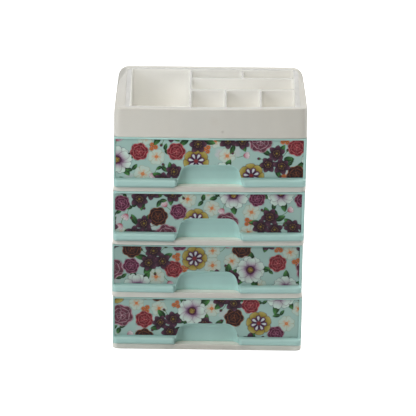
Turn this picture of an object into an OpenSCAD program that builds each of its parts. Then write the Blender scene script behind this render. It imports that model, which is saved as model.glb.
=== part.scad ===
// Four-tier desktop drawer tower with an open compartment tray on top.
// Millimetres. +Z is up, the drawers open towards -Y, and the origin is at
// the middle of the footprint, on the surface that the tower stands on.

/* [Tower] */
// Overall width of the frames
body_w = 180; // [160:1:220]
// Depth of the frames, without the drawer lips
body_d = 100; // [96:1:130]
// Height of one drawer tier
tier_h = 52.7; // [49:0.1:60]
// Number of drawer tiers is fixed at four; radius of the upright corners
corner_r = 6; // [4:0.5:8]
// Thickness of the frame side and back walls
wall_t = 2.6; // [2.4:0.1:3]
// Height of the front edge of each shelf
strip_h = 5.5; // [4.6:0.1:6]
// Thickness of the shelf plate
plate_t = 2.2; // [1.8:0.1:2.4]
// Thickness of the skirt round each shelf
skirt_t = 1.4; // [1.2:0.1:1.4]

/* [Top housing] */
// Height of the front rim above the top tier
front_h = 27.6; // [24:0.2:32]
// Height of the back rim above the top tier
back_h = 41.6; // [38:0.2:50]
// Radius of the rounded upper side edges
shoulder_r = 12; // [8:1:12]
// Width of the turned-in rim at the sides
rim_w = 8.6; // [7:0.1:10]
// Width of the turned-in rim at the front and back
rim_end = 5.4; // [4.5:0.1:9]
// Corner radius of the tray opening at the back
rear_r = 11; // [6:0.5:12]
// Thickness of the housing skin
skin_t = 2.4; // [2:0.1:2.6]

/* [Compartment tray] */
// Width of the tray's own flange
ledge_w = 4.3; // [3:0.1:5]
// How far the opening and its tray sit to the right of the middle
tray_dx = 1.7; // [-2:0.1:2]
// How far the tray flange sits below the rim
step_d = 0.4; // [0.3:0.1:1.2]
// Thickness of the tray walls
tray_t = 1.6; // [1.2:0.1:2]
// Middle of the tall divider beside the large compartment
divider_x = -19; // [-30:1:0]
// Back of the front row, from the tray's front wall
row_1 = 37.2; // [28:0.1:39]
// Back of the middle row, from the tray's front wall
row_2 = 61.2; // [52:0.1:63]

/* [Drawers] */
// How far the grip lips stand out from the shelf edges
lip_d = 5.5; // [4:0.5:7]
// Height of the grip lips
lip_h = 7; // [5:0.1:7.5]
// Gap from a shelf top to the lips above it
lip_gap = 0.4; // [0.4:0.1:1.6]
// Thickness of the drawer front behind the shelf edges
front_t = 4; // [3:0.1:4.4]
// How far the drawer fronts stand out from the shelf edges
proud = 0.5; // [0:0.1:0.8]
// Width of the raised border round the label
border_w = 2.4; // [2:0.1:4]
// Depth of the label recess
recess_d = 1.2; // [0.8:0.1:1.4]
// Thickness of the drawer walls and floor
tub_t = 1.8; // [1.4:0.1:2]
// Height of the drawer walls above the shelf
tub_h = 42.2; // [40:0.1:43]
// Half width of the finger recess at its foot
grip_w = 30.7; // [24:0.1:34]
// Height of the finger recess
grip_h = 20.4; // [18:0.1:22]
// Depth of the finger recess
grip_d = 9; // [8:0.5:12]
// Travel of a drawer up to its stop
travel = 65; // [50:1:65]

/* [Hidden] */
$fn = 64;

white = [0.86, 0.86, 0.83];
ivory = [0.90, 0.89, 0.84];
mint = [0.62, 0.77, 0.73];
print_ground = [0.76, 0.86, 0.82];

hw = body_w / 2;
back_y = (body_d + lip_d) / 2;          // back of the frames
front_y = back_y - body_d;              // plane of the shelf edges
fit = 0.2;                              // gap round a locating tongue
tongue_h = 2;
tub_back = body_d - 8.5;                // back face of a drawer, from the shelf edge
stop_y = tub_back - tub_t - travel - 0.2; // back face of a stop rib
top_z = 4 * tier_h;
deck_z = 2.4;                           // underside of the housing deck
deck_t = 1.6;
slope_y0 = 10;                          // where the rim starts to climb
slope_y1 = body_d - 14;                 // where it is level again

// ---- plane shapes; y runs back from the shelf edge ------------------------

module rrect(x0, x1, y0, y1, r) {
  translate([x0 + r, y0]) square([x1 - x0 - 2 * r, y1 - y0]);
  translate([x0, y0 + r]) square([x1 - x0, y1 - y0 - 2 * r]);
  for (x = [x0 + r, x1 - r], y = [y0 + r, y1 - r]) translate([x, y]) circle(r);
}

// Rounded rectangle with its own corner radii at the front and the back
module rrect_fb(x0, x1, y0, y1, r_front, r_back) {
  ym = (y0 + y1) / 2;
  rrect(x0, x1, y0, ym + 15, r_front);
  rrect(x0, x1, ym - 15, y1, r_back);
}

// Outline of the tower seen from above, drawn in by an inset
module plan(inset) {
  rrect(-hw + inset, hw - inset, inset, body_d - inset, max(corner_r - inset, 1.2));
}

// Wall band between two insets, open at the front
module wall_band(i0, i1) {
  difference() {
    plan(i0);
    plan(i1);
    translate([-body_w, -1]) square([2 * body_w, front_t + 1.8]);
  }
}

// Shape drawn in the side view, drawn out across the width
module across(w) {
  translate([-w / 2, 0, 0]) rotate([90, 0, 90]) linear_extrude(w) children();
}

// Shape drawn in the front view, drawn out from y0 back to y1
module backward(y0, y1) {
  translate([0, y1, 0]) rotate([90, 0, 0]) linear_extrude(y1 - y0) children();
}

module in_place(z = 0) {
  translate([0, front_y, z]) children();
}

// ---- shelf frames ---------------------------------------------------------

module stop_rib(top) {
  translate([-14, stop_y - 2, -2.8]) cube([28, 2, 2.8 + top]);
}

module frame_solid(with_stop) {
  union() {
    difference() {
      linear_extrude(strip_h) plan(0);
      translate([0, 0, -1]) linear_extrude(strip_h - plate_t + 1) plan(skirt_t);
    }
    translate([0, 0, strip_h]) linear_extrude(tier_h - strip_h) wall_band(0, wall_t);
    translate([0, 0, tier_h]) linear_extrude(tongue_h) wall_band(skirt_t + fit, wall_t);
    // Runners that the drawer slides on
    for (x = [-62, 60]) translate([x, 16, strip_h]) cube([2, body_d - 24, 0.8]);
    if (with_stop) stop_rib(strip_h - plate_t);
  }
}

module tier_frame_1() { color(white) in_place(3 * tier_h) frame_solid(true); }
module tier_frame_2() { color(white) in_place(2 * tier_h) frame_solid(true); }
module tier_frame_3() { color(white) in_place(tier_h) frame_solid(true); }
module base_frame_4() { color(white) in_place(0) frame_solid(false); }

// ---- top housing ----------------------------------------------------------

// Height of the rim at a distance back from the shelf edge
function climb(u) = 1.2 * u - 0.2 * pow(u, 6);
function rim_z(y) = y <= slope_y0 ? front_h
  : y >= slope_y1 ? back_h
  : front_h + (back_h - front_h) * climb((y - slope_y0) / (slope_y1 - slope_y0));

rim_steps = 14;
function rim_line(drop) = [for (i = [0 : rim_steps])
  let (y = slope_y0 + (slope_y1 - slope_y0) * i / rim_steps) [y, rim_z(y) - drop]];

// Everything under the rim line, lowered by a drop, seen from the side
module under_rim(drop) {
  polygon(concat([[-10, -10], [-10, front_h - drop]], rim_line(drop),
    [[body_d + 10, back_h - drop], [body_d + 10, -10]]));
}

// Everything over the rim line
module over_rim(drop) {
  polygon(concat([[-10, back_h + 10], [-10, front_h - drop]], rim_line(drop),
    [[body_d + 10, back_h - drop], [body_d + 10, back_h + 10]]));
}

// Outer form of the housing, drawn in by an inset
module housing_form(inset) {
  intersection() {
    linear_extrude(back_h + 1) plan(inset);
    across(body_w + 10) under_rim(inset);
    backward(-5, body_d + 5)
      rrect(-hw + inset, hw - inset, -30, back_h - inset, shoulder_r - inset);
  }
}

module top_housing() {
  color(white) in_place(top_z) difference() {
    union() {
      difference() {
        housing_form(0);
        difference() {
          housing_form(skin_t);
          translate([-hw, -5, -1]) cube([body_w, body_d + 10, 1 + deck_z + deck_t]);
        }
        translate([tray_dx, 0, deck_z + deck_t]) linear_extrude(back_h)
          rrect_fb(-hw + rim_w, hw - rim_w, rim_end, body_d - rim_end, 4, rear_r);
        translate([0, 0, -1]) linear_extrude(deck_z + 1) plan(skirt_t);
      }
      stop_rib(deck_z + 0.2);
    }
  }
}

// ---- compartment tray -----------------------------------------------------

tray_in = rim_w + ledge_w;                   // inset of the compartments at the sides
tray_x0 = -hw + tray_in + tray_dx;
tray_x1 = hw - tray_in + tray_dx;
tray_y0 = rim_end + ledge_w;
tray_y1 = body_d - rim_end - ledge_w;
floor_z = deck_z + deck_t + 1.4;             // top of the tray floor
right_x0 = divider_x + tray_t / 2;
third = (tray_x1 - right_x0 + tray_t) / 3;
half = (tray_x1 - right_x0 + tray_t) / 2;

module pocket(x0, x1, y0, y1) {
  translate([0, 0, floor_z]) linear_extrude(back_h) rrect(x0, x1, y0, y1, 2);
}

module compartment_tray() {
  color(ivory) in_place(top_z) difference() {
    intersection() {
      translate([tray_dx, 0, deck_z + deck_t]) linear_extrude(back_h)
        rrect_fb(-hw + rim_w + 0.1, hw - rim_w - 0.1, rim_end + 0.1, body_d - rim_end - 0.1, 3.9, rear_r - 0.1);
      across(body_w) under_rim(step_d);
    }
    // Hollow under the flange, outside the walls
    intersection() {
      difference() {
        translate([0, 0, -1]) linear_extrude(back_h + 5)
          rrect(-hw - 5, hw + 5, 0, body_d, 3.7);
        translate([0, 0, -2]) linear_extrude(back_h + 7)
          rrect(tray_x0 - tray_t, tray_x1 + tray_t, tray_y0 - tray_t, tray_y1 + tray_t, 2.4);
      }
      across(body_w + 10) under_rim(step_d + 1.8);
    }
    // Dividers stand a little lower than the flange
    intersection() {
      translate([tray_x0, tray_y0, 0]) cube([tray_x1 - tray_x0, tray_y1 - tray_y0, back_h + 5]);
      across(body_w) over_rim(step_d + 1.8);
    }
    // Large compartment on the left
    pocket(tray_x0, divider_x - tray_t / 2, tray_y0, tray_y1);
    // Front row of three
    for (i = [0 : 2])
      pocket(right_x0 + i * third, right_x0 + (i + 1) * third - tray_t, tray_y0, tray_y0 + row_1 - tray_t / 2);
    // One long compartment in the middle
    pocket(right_x0, tray_x1, tray_y0 + row_1 + tray_t / 2, tray_y0 + row_2 - tray_t / 2);
    // Back row of two
    for (i = [0 : 1])
      pocket(right_x0 + i * half, right_x0 + (i + 1) * half - tray_t, tray_y0 + row_2 + tray_t / 2, tray_y1);
  }
}

// ---- drawers --------------------------------------------------------------

front_hw = hw - 0.6;                         // half width of a drawer front
front_z0 = strip_h + 0.5;
front_z1 = tier_h - 0.2;
lip_z0 = strip_h + lip_gap;
lip_z1 = lip_z0 + lip_h;
label_z0 = lip_z1;
label_z1 = tier_h - 0.4 - border_w * 0.77;
label_y = recess_d - proud;                  // bottom of the label recess
tub_hw = hw - wall_t - 0.8;
tub_z0 = strip_h + 0.9;
bend_r = 10;                                 // radius of the recess's upper corners
bend_x = grip_w - 13.4;

// Finger recess seen from the front, from the shelf top up, grown by g
module grip_arch(g) {
  r = bend_r + g;
  foot = grip_w + g;
  // Where the leaning side meets the round corner, a little before the tangent
  lean = acos(r / norm([foot - bend_x, grip_h - bend_r])) - atan2(grip_h - bend_r, foot - bend_x) - 1.5;
  tx = bend_x + r * cos(lean);
  tz = grip_h - bend_r + r * sin(lean);
  polygon([[-foot, -8], [foot, -8], [foot, 0], [tx, tz],
    [bend_x, grip_h + g], [-bend_x, grip_h + g], [-tx, tz], [-foot, 0]]);
  for (x = [-bend_x, bend_x]) translate([x, grip_h - bend_r]) circle(r);
}

// Space of the finger recess, grown by g
module grip_form(g) {
  intersection() {
    backward(-20, grip_d + g) grip_arch(g);
    translate([0, 0, -8]) linear_extrude(grip_h + 20)
      rrect(-grip_w - g, grip_w + g, -20, grip_d + g, 8);
    across(body_w) rrect(-20, grip_d + g, -18, grip_h + g, 7);
  }
}

module lips() {
  intersection() {
    across(body_w) union() {
      translate([-lip_d + lip_h / 2, lip_z0]) square([lip_d - lip_h / 2 + front_t - 0.5, lip_h]);
      translate([-lip_d + lip_h / 2, lip_z0 + lip_h / 2]) circle(lip_h / 2);
    }
    linear_extrude(tier_h) intersection() {
      rrect(-front_hw, front_hw, -lip_d, 20, 5);
      union() {
        rrect(-front_hw - 10, -grip_w, -lip_d, 25, 2.5);
        rrect(grip_w, front_hw + 10, -lip_d, 25, 2.5);
      }
    }
  }
}

module drawer_solid() {
  difference() {
    union() {
      backward(-proud, front_t) rrect(-front_hw, front_hw, front_z0, front_z1, 2);
      lips();
      // Tub
      difference() {
        translate([0, 0, tub_z0]) linear_extrude(tub_h)
          rrect(-tub_hw, tub_hw, front_t - 1, tub_back, 2.5);
        translate([0, 0, tub_z0 + tub_t]) linear_extrude(tub_h)
          rrect(-tub_hw + tub_t, tub_hw - tub_t, front_t, tub_back - tub_t, 1.5);
      }
      // Skin round the finger recess
      intersection() {
        translate([0, 0, strip_h]) grip_form(1.8);
        translate([-hw, 1.5, strip_h + 0.25]) cube([body_w, 40, tub_h]);
      }
      // Stop tab
      translate([-12, tub_back - tub_t, tub_z0 + tub_h - 1]) cube([24, tub_t, 3.8 + 1]);
    }
    translate([0, 0, strip_h]) grip_form(0);
    backward(-2, label_y)
      rrect(-front_hw + border_w, front_hw - border_w, label_z0, label_z1, 1);
  }
}

module label_solid() {
  difference() {
    backward(label_y - 0.4, label_y)
      rrect(-front_hw + border_w + 0.2, front_hw - border_w - 0.2, label_z0 + 0.2, label_z1 - 0.2, 0.8);
    translate([0, 0, strip_h]) backward(-2, 5) grip_arch(1);
  }
}

module drawer_1() { color(mint) in_place(3 * tier_h) drawer_solid(); }
module drawer_2() { color(mint) in_place(2 * tier_h) drawer_solid(); }
module drawer_3() { color(mint) in_place(tier_h) drawer_solid(); }
module drawer_4() { color(mint) in_place(0) drawer_solid(); }

module drawer_label_1() { color(print_ground) in_place(3 * tier_h) label_solid(); }
module drawer_label_2() { color(print_ground) in_place(2 * tier_h) label_solid(); }
module drawer_label_3() { color(print_ground) in_place(tier_h) label_solid(); }
module drawer_label_4() { color(print_ground) in_place(0) label_solid(); }

top_housing();
compartment_tray();
tier_frame_1();
tier_frame_2();
tier_frame_3();
base_frame_4();
drawer_1();
drawer_2();
drawer_3();
drawer_4();
drawer_label_1();
drawer_label_2();
drawer_label_3();
drawer_label_4();
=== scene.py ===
"""Four-tier desktop drawer tower: moulded plastic, printed drawer fronts, soft studio light."""
import math

import bpy
import numpy as np
import openvdb as vdb
from mathutils import Matrix, Vector


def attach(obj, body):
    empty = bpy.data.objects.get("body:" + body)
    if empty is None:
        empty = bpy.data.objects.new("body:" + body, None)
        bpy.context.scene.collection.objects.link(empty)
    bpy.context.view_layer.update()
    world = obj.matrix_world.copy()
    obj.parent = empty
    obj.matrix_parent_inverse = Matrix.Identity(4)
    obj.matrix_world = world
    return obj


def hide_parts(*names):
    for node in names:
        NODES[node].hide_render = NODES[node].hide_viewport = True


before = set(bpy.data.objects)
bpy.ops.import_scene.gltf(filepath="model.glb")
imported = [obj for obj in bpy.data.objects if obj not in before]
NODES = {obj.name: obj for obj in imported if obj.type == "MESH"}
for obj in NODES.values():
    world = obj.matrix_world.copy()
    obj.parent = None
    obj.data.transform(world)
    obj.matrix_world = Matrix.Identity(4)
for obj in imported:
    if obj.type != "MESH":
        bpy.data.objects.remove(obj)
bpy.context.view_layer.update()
MM = 0.001

TIER = 52.7          # pitch of the drawer tiers, mm
FRONT_Y = -47.25     # plane of the shelf edges
TOP = 4 * TIER       # underside of the top housing


# ---------------------------------------------------------------- camera ----

def make_camera():
    az, el, roll = math.radians(-0.36), math.radians(18.0), math.radians(0.86)
    dist, focal = 2.34066, 2451.5
    target = Vector((-0.00056, 0.0, 0.12672))
    d = Vector((math.sin(az) * math.cos(el), -math.cos(az) * math.cos(el), math.sin(el)))
    forward = -d
    right = forward.cross(Vector((0, 0, 1))).normalized()
    up = right.cross(forward)
    r2 = math.cos(roll) * right + math.sin(roll) * up
    u2 = -math.sin(roll) * right + math.cos(roll) * up
    data = bpy.data.cameras.new("camera")
    data.sensor_width = 36.0
    data.lens = focal / 416 * 36
    data.clip_start, data.clip_end = 0.05, 200
    cam = bpy.data.objects.new("camera", data)
    bpy.context.scene.collection.objects.link(cam)
    m = Matrix((r2, u2, d)).transposed().to_4x4()
    m.translation = target + dist * d
    cam.matrix_world = m
    bpy.context.scene.camera = cam


make_camera()


# ---------------------------------------------- moulded forms from CAD ------

def triangles(o):
    """A node's mesh as points in mm and triangles."""
    me = o.data
    v = np.empty(len(me.vertices) * 3, np.float32)
    me.vertices.foreach_get("co", v)
    me.calc_loop_triangles()
    t = np.empty(len(me.loop_triangles) * 3, np.int32)
    me.loop_triangles.foreach_get("vertices", t)
    return (v.reshape(-1, 3) * 1000).astype(np.float32), t.reshape(-1, 3).astype(np.uint32)


def blur(a, sigma):
    """Gaussian blur along the three axes, sigma in voxels."""
    n = max(1, int(math.ceil(2.6 * sigma)))
    k = np.exp(-0.5 * (np.arange(-n, n + 1) / sigma) ** 2)
    k = (k / k.sum()).astype(np.float32)
    for axis in range(3):
        a = np.moveaxis(a, axis, 0)
        out = a * k[n]
        for i in range(1, n + 1):
            out[i:] += a[:-i] * k[n - i]
            out[:i] += a[:1] * k[n - i]
            out[:-i] += a[i:] * k[n + i]
            out[-i:] += a[-1:] * k[n + i]
        a = np.moveaxis(out, 0, axis)
    return np.ascontiguousarray(a)


def softened(o, voxel, sigma, adapt):
    """The node's form with its edges rounded as a mould leaves them: its distance field is blurred by sigma mm
    and meshed again. A straight wall stays where it is. Returns points, faces, normals and the field's bend
    (positive on outer edges, negative in grooves), all in mm."""
    v, t = triangles(o)
    band = int(math.ceil(3 * sigma / voxel)) + 2
    grid = vdb.FloatGrid.createLevelSetFromPolygons(
        v, triangles=t, transform=vdb.createLinearTransform(voxelSize=voxel), halfWidth=float(band))
    lo = np.floor(v.min(0) / voxel).astype(int) - band - 2
    hi = np.ceil(v.max(0) / voxel).astype(int) + band + 2
    a = np.empty(tuple(hi - lo + 1), np.float32)
    grid.copyToArray(a, ijk=tuple(int(x) for x in lo))
    a = blur(a, sigma / voxel)
    out = vdb.FloatGrid(float(band * voxel))
    out.copyFromArray(a, ijk=tuple(int(x) for x in lo), tolerance=1e-4)
    out.transform = vdb.createLinearTransform(voxelSize=voxel)
    out.gridClass = vdb.GridClass.LEVEL_SET
    p, tri, quad = out.convertToPolygons(isovalue=0.0, adaptivity=adapt)
    # Normals from the field itself, so that flat and round parts shade cleanly
    g = (p / voxel) - lo
    i = np.clip(np.floor(g).astype(int), 2, np.array(a.shape) - 4)
    f = (g - i).astype(np.float32)

    def at(off):
        r = 0
        for c in range(8):
            b = np.array([c & 1, c >> 1 & 1, c >> 2 & 1])
            w = np.prod(np.where(b, f, 1 - f), axis=1)
            j = i + b + off
            r = r + w * a[j[:, 0], j[:, 1], j[:, 2]]
        return r

    eye = np.eye(3, dtype=int)
    n = np.stack([at(eye[k]) - at(-eye[k]) for k in range(3)], 1)
    n /= np.maximum(np.linalg.norm(n, axis=1, keepdims=True), 1e-9)
    bend = (sum(at(2 * eye[k]) + at(-2 * eye[k]) for k in range(3)) - 6 * at(0 * eye[0])) / (2 * voxel) ** 2
    return p.astype(np.float64), tri.astype(np.int64), quad.astype(np.int64), n, bend


def mesh_of(name, p, tri, quad, normals=None, bend=None):
    me = bpy.data.meshes.new(name)
    nv, nt, nq = len(p), len(tri), len(quad)
    me.vertices.add(nv)
    me.vertices.foreach_set("co", (p * MM).astype(np.float32).ravel())
    loops = np.concatenate([tri[:, ::-1].ravel(), quad[:, ::-1].ravel()]) if nt else quad[:, ::-1].ravel()
    me.loops.add(len(loops))
    me.loops.foreach_set("vertex_index", loops.astype(np.int32))
    me.polygons.add(nt + nq)
    start = np.concatenate([np.arange(nt) * 3, nt * 3 + np.arange(nq) * 4])
    me.polygons.foreach_set("loop_start", start.astype(np.int32))
    me.update(calc_edges=True)
    me.validate()
    me.polygons.foreach_set("use_smooth", np.ones(len(me.polygons), bool))
    if normals is not None and len(me.vertices) == nv:
        me.normals_split_custom_set_from_vertices(normals.astype(np.float32))
    if bend is not None and len(me.vertices) == nv:
        me.attributes.new("bend", "FLOAT", "POINT").data.foreach_set("value", np.clip(bend, -1.5, 1.5).astype(np.float32))
    return me


def place(name, me, body, nodes=()):
    o = bpy.data.objects.new(name, me)
    bpy.context.scene.collection.objects.link(o)
    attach(o, body)
    if nodes:
        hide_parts(*nodes)
    return o


# -------------------------------------------------------------- materials ---

class Tree:
    """Short names for building a material's nodes."""

    def __init__(self, name):
        self.mat = bpy.data.materials.new(name)
        self.mat.use_nodes = True
        self.nt = self.mat.node_tree
        self.bsdf = self.nt.nodes["Principled BSDF"]
        self.at = self.node("ShaderNodeTexCoord").outputs["Object"]

    def node(self, kind, **values):
        n = self.nt.nodes.new(kind)
        for k, v in values.items():
            setattr(n, k, v)
        return n

    def put(self, socket, value):
        if isinstance(value, bpy.types.NodeSocket):
            self.nt.links.new(value, socket)
        else:
            socket.default_value = value

    def math(self, op, a, b=0.0, c=None, clamp=False):
        n = self.node("ShaderNodeMath", operation=op, use_clamp=clamp)
        self.put(n.inputs[0], a)
        self.put(n.inputs[1], b)
        if c is not None:
            self.put(n.inputs[2], c)
        return n.outputs[0]

    def noise(self, scale, detail=3.0, rough=0.5, at=None, distortion=0.0):
        n = self.node("ShaderNodeTexNoise")
        self.put(n.inputs["Vector"], at if at is not None else self.at)
        n.inputs["Scale"].default_value = scale
        n.inputs["Detail"].default_value = detail
        n.inputs["Roughness"].default_value = rough
        n.inputs["Distortion"].default_value = distortion
        return n.outputs["Fac"]

    def stretch(self, scale, turn=(0, 0, 0)):
        n = self.node("ShaderNodeMapping")
        self.put(n.inputs["Vector"], self.at)
        n.inputs["Scale"].default_value = scale
        n.inputs["Rotation"].default_value = turn
        return n.outputs[0]

    def fit(self, value, a, b, c, d):
        n = self.node("ShaderNodeMapRange")
        self.put(n.inputs["Value"], value)
        for k, v in zip(("From Min", "From Max", "To Min", "To Max"), (a, b, c, d)):
            n.inputs[k].default_value = v
        return n.outputs[0]

    def mix(self, fac, a, b):
        n = self.node("ShaderNodeMix", data_type="RGBA")
        self.put(n.inputs["Factor"], fac)
        self.put(n.inputs["A"], a)
        self.put(n.inputs["B"], b)
        return n.outputs["Result"]

    def scaled(self, colour, factor):
        n = self.node("ShaderNodeVectorMath", operation="SCALE")
        self.put(n.inputs[0], colour)
        self.put(n.inputs["Scale"], factor)
        return n.outputs[0]

    def attribute(self, name, out="Fac"):
        return self.node("ShaderNodeAttribute", attribute_name=name).outputs[out]

    def bump(self, height, distance, strength=1.0, normal=None):
        n = self.node("ShaderNodeBump")
        self.put(n.inputs["Height"], height)
        n.inputs["Distance"].default_value = distance
        n.inputs["Strength"].default_value = strength
        if normal is not None:
            self.put(n.inputs["Normal"], normal)
        return n.outputs[0]


def tint(c, k):
    return tuple(x * k for x in c[:3]) + (1.0,)


def plastic(name, colour, warm, rough, spec=0.5, wear=0.05, groove_shade=0.10, flow=0.02, scratches=0.05, mark=None):
    """Moulded plastic: cloudy colour, worn outer edges, painted shade in grooves, painted light and shade (with a fine
    dusting on the tray's tops) where the "tone" attribute says, fine flow lines, scuffs and orange peel."""
    T = Tree(name)
    cloud = T.noise(11.0, 2.0)
    fleck = T.noise(160.0, 4.0, 0.6)
    fac = T.fit(cloud, 0.35, 0.65, 0.0, 1.0)
    col = T.mix(fac, colour, warm)
    # faint streaks where the melt ran, along the height and across the width
    streak = T.noise(1.0, 2.0, 0.5, T.stretch((46.0, 46.0, 7.0)))
    level = T.fit(streak, 0.3, 0.7, 1.0 - flow, 1.0 + flow)
    level = T.math("MULTIPLY", level, T.fit(fleck, 0.3, 0.7, 0.992, 1.008))
    bend = T.attribute("bend")
    edge = T.math("MULTIPLY", T.fit(bend, 0.15, 0.9, 0.0, 1.0), T.fit(T.noise(70.0, 3.0), 0.4, 0.62, 0.35, 1.0))
    # painted shade: the colour is darkened in grooves, where the bend is negative
    groove = T.math("MULTIPLY", T.fit(bend, -0.15, -0.9, 0.0, 1.0), T.fit(T.noise(45.0, 3.0), 0.35, 0.6, 0.5, 1.0))
    level = T.math("MULTIPLY", level, T.math("MULTIPLY_ADD", edge, wear, 1.0))
    level = T.math("MULTIPLY", level, T.math("MULTIPLY_ADD", groove, -groove_shade, 1.0))
    # the "tone" attribute carries painted light and shade worked out for each piece, with a fine dusting on the tray's
    # tops
    tone = T.math("MULTIPLY", T.attribute("tone"), T.fit(T.noise(130.0, 4.0, 0.6), 0.3, 0.7, 0.88, 1.12))
    level = T.math("MULTIPLY", level, T.math("ADD", tone, 1.0))
    col = T.scaled(col, level)
    if mark:
        # a few small scuffs on the face, at places given in mm
        for (x, y, z), size, tone, strength in mark:
            d = T.node("ShaderNodeVectorMath", operation="DISTANCE")
            T.put(d.inputs[0], T.at)
            d.inputs[1].default_value = (x * MM, y * MM, z * MM)
            wob = T.math("MULTIPLY_ADD", T.noise(500.0, 2.0), size * MM, d.outputs["Value"])
            col = T.mix(T.math("MULTIPLY", T.fit(wob, 1.4 * size * MM, 0.5 * size * MM, 0.0, 1.0), strength), col, tone)
    T.put(T.bsdf.inputs["Base Color"], col)
    # gloss: broad smears, fine scratches, softer where worn
    smear = T.fit(T.noise(24.0, 3.0, 0.6), 0.3, 0.7, -0.035, 0.035)
    s1 = T.noise(1.0, 1.0, 0.4, T.stretch((900.0, 900.0, 26.0), (0.3, 0.5, 0.2)))
    s2 = T.noise(1.0, 1.0, 0.4, T.stretch((30.0, 800.0, 800.0), (0.1, 0.35, 0.6)))
    line = T.math("MAXIMUM", T.fit(s1, 0.68, 0.72, 0.0, 1.0), T.fit(s2, 0.69, 0.73, 0.0, 1.0))
    r = T.math("ADD", T.math("MULTIPLY_ADD", line, scratches, smear), T.math("MULTIPLY_ADD", edge, -0.03, rough))
    r = T.math("MULTIPLY_ADD", groove, 0.12, r, clamp=True)
    T.put(T.bsdf.inputs["Roughness"], r)
    T.bsdf.inputs["Specular IOR Level"].default_value = spec
    peel = T.math("MULTIPLY_ADD", T.noise(420.0, 2.0), 1.0, T.math("MULTIPLY", T.noise(90.0, 2.0), 2.2))
    height = T.math("MULTIPLY_ADD", line, -0.12, peel)
    T.put(T.bsdf.inputs["Normal"], T.bump(height, 0.000012))
    return T.mat


def printed(name, rough):
    """Printed film: ink colours from the painted sheet, screen dots, ink film and clear gloss."""
    T = Tree(name)
    ink = T.attribute("ink", "Color")
    dots = T.node("ShaderNodeTexVoronoi", feature="F1")
    T.put(dots.inputs["Vector"], T.at)
    dots.inputs["Scale"].default_value = 3600.0
    level = T.fit(dots.outputs["Distance"], 0.1, 0.7, 1.03, 0.97)
    level = T.math("MULTIPLY", level, T.fit(T.noise(60.0, 3.0), 0.3, 0.7, 0.985, 1.015))
    # painted shade from the "tone" attribute: darker under the border and at the right end, and a level for each drawer
    level = T.math("MULTIPLY", level, T.math("ADD", T.attribute("tone"), 1.0))
    T.put(T.bsdf.inputs["Base Color"], T.scaled(ink, level))
    s1 = T.noise(1.0, 1.0, 0.4, T.stretch((34.0, 900.0, 700.0), (0.0, 0.35, 0.0)))
    line = T.fit(s1, 0.68, 0.72, 0.0, 0.06)
    T.put(T.bsdf.inputs["Roughness"], T.math("ADD", line, T.fit(T.noise(30.0, 3.0), 0.3, 0.7, rough - 0.04, rough + 0.04)))
    T.bsdf.inputs["Specular IOR Level"].default_value = 0.22
    h = T.math("MULTIPLY_ADD", T.noise(700.0, 2.0), 0.5, T.math("MULTIPLY", T.noise(38.0, 2.0), 3.0))
    T.put(T.bsdf.inputs["Normal"], T.bump(h, 0.00001))
    return T.mat


STEP = 0.2            # mm between the print's dots
SHEET_W, SHEET_H = 184.0, 160.0


class Sheet:
    """The painted sheet."""

    def __init__(self, w, h, step):
        self.step = step
        self.nx, self.ny = int(round(w / step)), int(round(h / step))
        self.a = np.zeros((self.ny, self.nx, 3), np.float32)

    def window(self, cx, cy, r):
        s = self.step
        ix = np.arange(int((cx - r) // s), int((cx + r) // s) + 2)
        iy = np.arange(int((cy - r) // s), int((cy + r) // s) + 2)
        x = ((ix + 0.5) * s - cx).astype(np.float32)[None, :]
        y = ((iy + 0.5) * s - cy).astype(np.float32)[:, None]
        return np.ix_(iy % self.ny, ix % self.nx), x, y

    def mix(self, at, colour, alpha):
        sub = self.a[at]
        self.a[at] = sub + (colour - sub) * alpha[..., None]

    def cover(self, d, soft=1.3):
        return np.clip(0.5 - d / (soft * self.step), 0, 1)


def ramp(t, *stops):
    """Colour at t, from (place, colour) stops."""
    t = np.asarray(t)
    xs = [p for p, _ in stops]
    return np.stack([np.interp(t, xs, [c[k] for _, c in stops]) for k in range(3)], -1).astype(np.float32)


def smooth(t):
    t = np.clip(t, 0, 1)
    return t * t * (3 - 2 * t)


ROUND = (0.95, 0.42)
STAR = (0.72, 0.72)
DAISY = (0.42, 0.30)
LEAF = (0.62, 0.82)


def outline_of(t, shape):
    a, b = shape
    top = a / (a + b)
    norm = top ** a * (1 - top) ** b
    t = np.clip(t, 0, 1)
    return t ** a * (1 - t) ** b / norm


def petal(S, cx, cy, ang, length, width, shape, stops, edge=None, line=0.22, veins=0, vein_dark=0.12,
          notch=0.0, tilt=0.0, shade=0.35, bend=0.0, alpha=1.0, vary=0.0, phase=0.0):
    at, x, y = S.window(cx, cy, length + 1.0)
    c, s = math.cos(ang), math.sin(ang)
    u = x * c + y * s
    v = -x * s + y * c
    v = v - bend * (u / length) ** 2 * length
    if notch:
        reach = length * (1 - notch * np.exp(-(v / (0.3 * width)) ** 2))
    else:
        reach = length
    t = u / reach
    w = width * outline_of(t, shape)
    e = 0.02
    slope = width * (outline_of(t + e, shape) - outline_of(t - e, shape)) / (2 * e * length)
    d = (np.abs(v) - w) / np.sqrt(1 + slope ** 2)
    d = np.where((t < 0) | (t > 1), np.maximum(d, np.maximum(-u, u - reach)), d)
    if shade:
        S.mix(at, np.float32([44, 40, 44]), shade * alpha * np.clip(1 - d / 0.9, 0, 1) ** 2 * (d > 0) * 0.8)
    q = np.abs(v) / np.maximum(w, 1e-3)
    col = ramp(t, *stops)
    if veins:
        wave = 0.5 + 0.5 * np.cos(v / np.maximum(w, 0.05) * math.pi * veins + phase)
        col = col * (1 - vein_dark * (wave ** 3 * smooth(1.15 - t))[..., None])
    if vary:
        col = col * (1 + vary * np.sin(3 * t + 2 * q + phase))[..., None]
    if tilt:
        col = col * (1 + tilt * np.clip(v / np.maximum(w, 0.05), -1, 1))[..., None]
    if edge is not None:
        k = np.clip(1 + d / line, 0, 1)
        col = col + (np.float32(edge) - col) * k[..., None]
    S.mix(at, np.clip(col, 0, 255), alpha * S.cover(d))


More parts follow.
